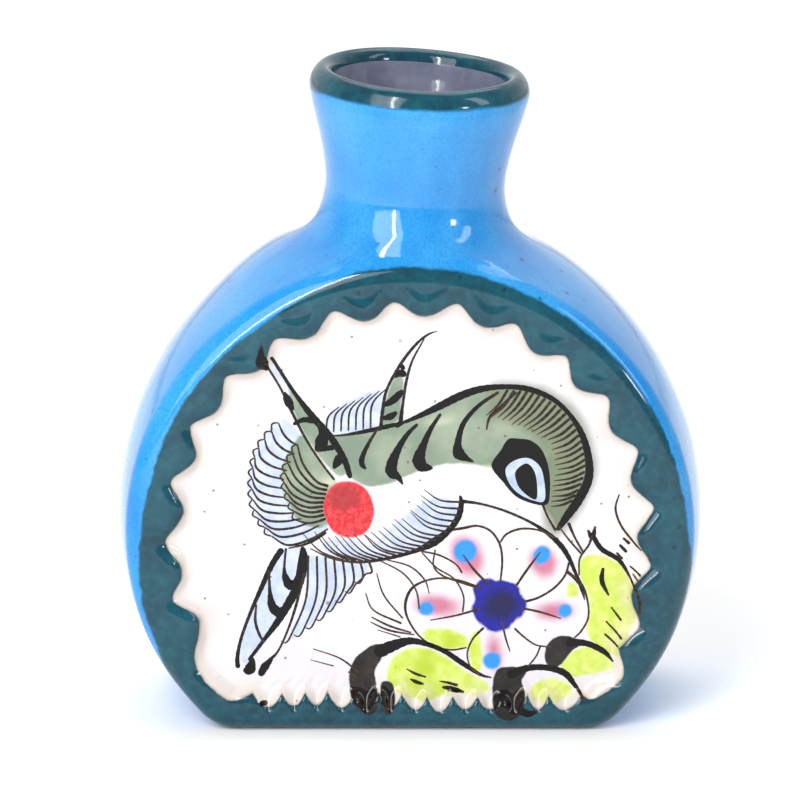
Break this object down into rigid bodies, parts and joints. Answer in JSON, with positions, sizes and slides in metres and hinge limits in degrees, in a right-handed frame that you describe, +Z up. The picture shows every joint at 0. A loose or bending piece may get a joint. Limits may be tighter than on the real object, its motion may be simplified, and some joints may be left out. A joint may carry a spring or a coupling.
{
  "type": "bud vase",
  "caption": "Flask-shaped hand-painted ceramic bud vase, round scalloped faces with a bird and flower, blue sides, flared neck.",
  "frame": {"origin": "middle of the flat base, on the table", "axes": "+Z up, -Y out of the painted front face, +X to the right of someone facing it"},
  "size_m": [0.1004, 0.0406, 0.1125],
  "materials": {
    "white_glaze": "gloss",
    "teal_glaze": "gloss",
    "blue_glaze": "gloss",
    "bare_clay": "matte"
  },
  "bodies": {
    "root": {"front_slab": "white_glaze", "front_border": "teal_glaze", "back_slab": "white_glaze", "back_border": "teal_glaze", "wall_strip": "blue_glaze", "foot_slab": "bare_clay", "neck_collar": "blue_glaze", "lip_coil": "teal_glaze"}
  },
  "joints": []
}
